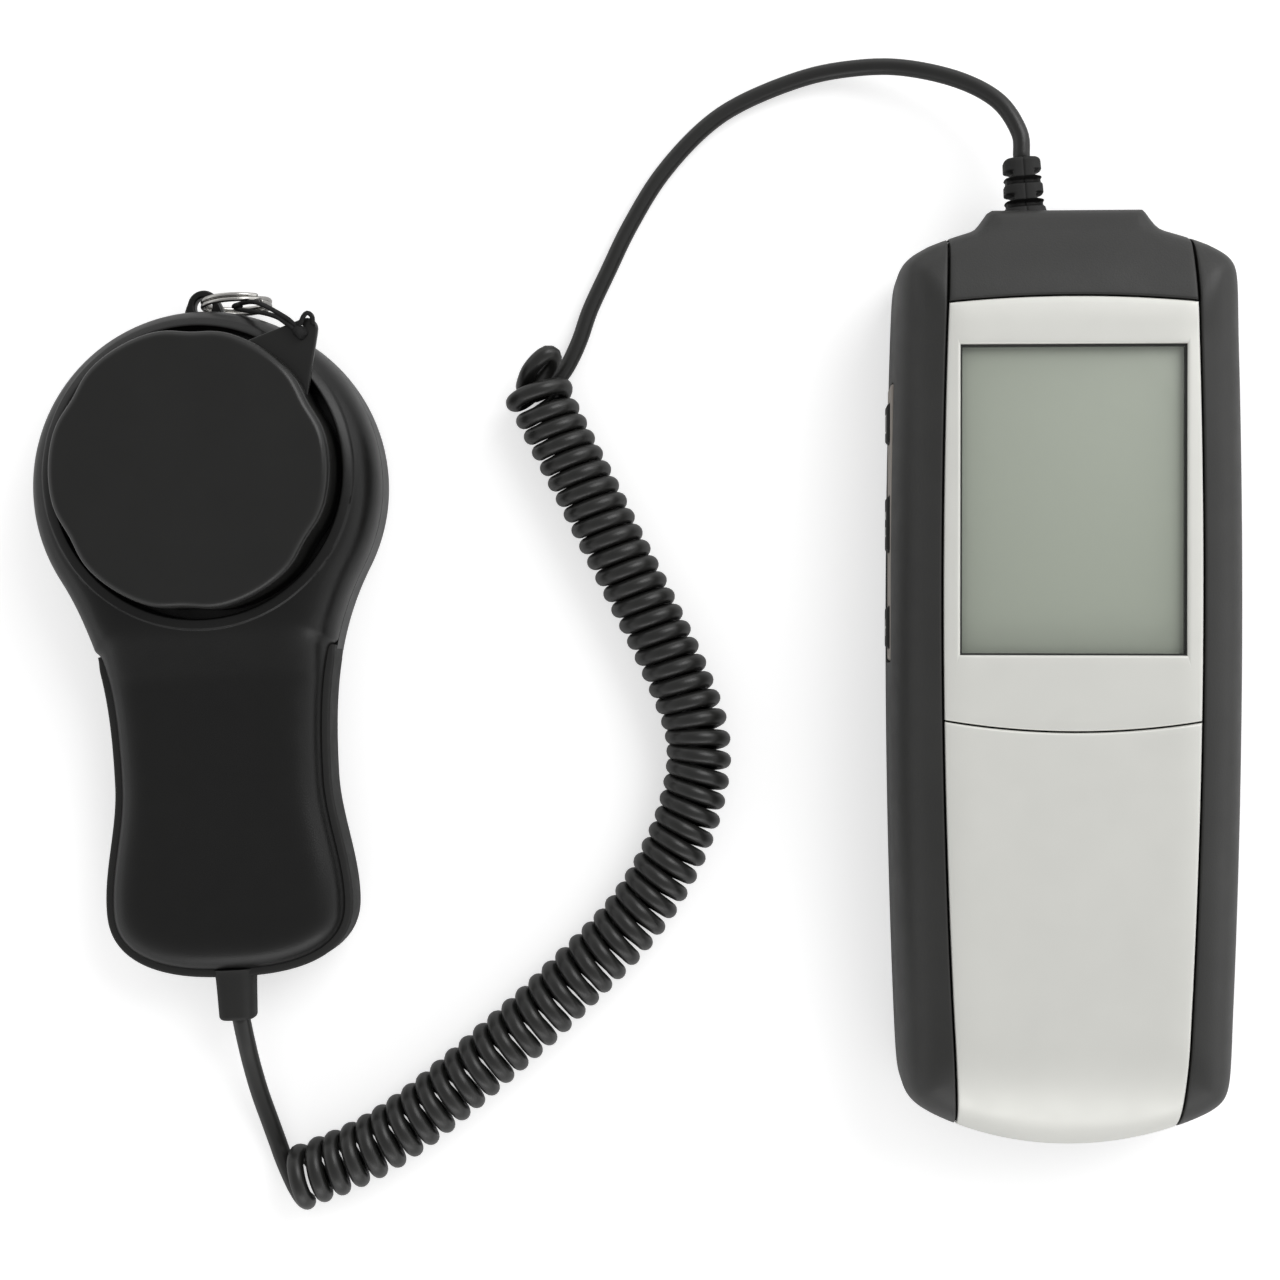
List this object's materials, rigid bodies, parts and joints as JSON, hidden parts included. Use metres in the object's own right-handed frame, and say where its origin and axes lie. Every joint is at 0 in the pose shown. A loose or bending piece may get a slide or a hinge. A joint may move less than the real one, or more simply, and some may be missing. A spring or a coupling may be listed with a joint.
{
  "type": "handheld light meter with remote sensor",
  "caption": "Slim handheld meter with a large display and side keys, and a capped round light sensor on a paddle handle, joined by a curly cord.",
  "frame": {"origin": "centre of the meter's back face, on the surface it lies on", "axes": "+Z out of the display, +Y towards the meter's cord end, +X to the user's right; the sensor paddle lies on the -X side"},
  "size_m": [0.2117, 0.2052, 0.028],
  "materials": {
    "dark_grey_plastic": "fine-grained satin",
    "silver_paint": "satin silver paint on plastic",
    "window_glass": "clear, slightly green",
    "display_cell": "grey-green liquid crystal cell",
    "black_plastic": "satin",
    "contact_elastomer": "matt",
    "board_green": "solder mask",
    "chip_black": "moulded",
    "key_plate_grey": "matt",
    "black_rubber": "matt",
    "cord_jacket": "satin",
    "steel": "bright",
    "battery_jacket": "printed film",
    "foam": "open foam",
    "diffuser_white": "milky",
    "filter_glass": "tinted"
  },
  "bodies": {
    "meter": {"battery_pad": "foam", "battery_snap": "black_plastic", "cord_coil": "cord_jacket", "cord_lead_meter": "cord_jacket", "cord_lead_sensor": "cord_jacket", "front_frame": "dark_grey_plastic", "input_amplifier": "chip_black", "key_board": "board_green", "key_switch_1": "steel", "key_switch_2": "steel", "key_switch_3": "steel", "lcd_holder": "black_plastic", "lcd_panel": "display_cell", "lcd_window": "window_glass", "left_side_rail": "dark_grey_plastic", "lower_contact_strip": "contact_elastomer", "lower_front_panel": "silver_paint", "main_board": "board_green", "meter_strain_relief": "black_rubber", "nine_volt_battery": "battery_jacket", "processor_chip": "chip_black", "rear_screw_1": "steel", "rear_screw_2": "steel", "rear_screw_3": "steel", "rear_screw_4": "steel", "rear_shell": "dark_grey_plastic", "right_side_rail": "dark_grey_plastic", "side_key_plate": "key_plate_grey", "top_cap": "dark_grey_plastic", "upper_bezel": "silver_paint", "upper_contact_strip": "contact_elastomer"},
    "sensor": {"sensor_board": "board_green", "sensor_lower_shell": "black_plastic", "sensor_screw_1": "steel", "sensor_screw_2": "steel", "sensor_screw_3": "steel", "sensor_screw_4": "steel", "sensor_strain_relief": "black_rubber", "sensor_upper_shell": "black_plastic", "grip_band": "black_rubber", "diffuser_retainer": "black_plastic", "diffuser_dome": "diffuser_white", "optical_filter": "filter_glass", "photodiode": "steel"},
    "cap": {"sensor_cap": "black_plastic", "cap_tether": "cord_jacket"},
    "ring": {"split_ring": "steel"},
    "battery_door": {"battery_door": "dark_grey_plastic"},
    "power_key": {"power_key": "black_rubber"},
    "hold_key": {"hold_key": "black_rubber"},
    "range_key": {"range_key": "black_rubber"}
  },
  "joints": [
    {"name": "sensor_lift", "type": "slide", "parent": "meter", "child": "sensor", "axis": [0, 0, 1], "range_m": [0, 0.06]},
    {"name": "cap_lift", "type": "slide", "parent": "sensor", "child": "cap", "axis": [0, 0, 1], "range_m": [0, 0.018]},
    {"name": "ring_swing", "type": "hinge", "parent": "sensor", "child": "ring", "pos_m": [-0.15239, 0.06624, 0.0066], "axis": [0, 0, 1], "range_deg": [-10, 10]},
    {"name": "battery_door_slide", "type": "slide", "parent": "meter", "child": "battery_door", "axis": [0, -1, 0], "range_m": [0, 0.012]},
    {"name": "power_key_press", "type": "slide", "parent": "meter", "child": "power_key", "axis": [1, 0, 0], "range_m": [0, 0.0006], "stiffness_N_per_m": 600, "springref_m": -0.0004},
    {"name": "hold_key_press", "type": "slide", "parent": "meter", "child": "hold_key", "axis": [1, 0, 0], "range_m": [0, 0.0006], "stiffness_N_per_m": 600, "springref_m": -0.0004},
    {"name": "range_key_press", "type": "slide", "parent": "meter", "child": "range_key", "axis": [1, 0, 0], "range_m": [0, 0.0006], "stiffness_N_per_m": 600, "springref_m": -0.0004}
  ]
}
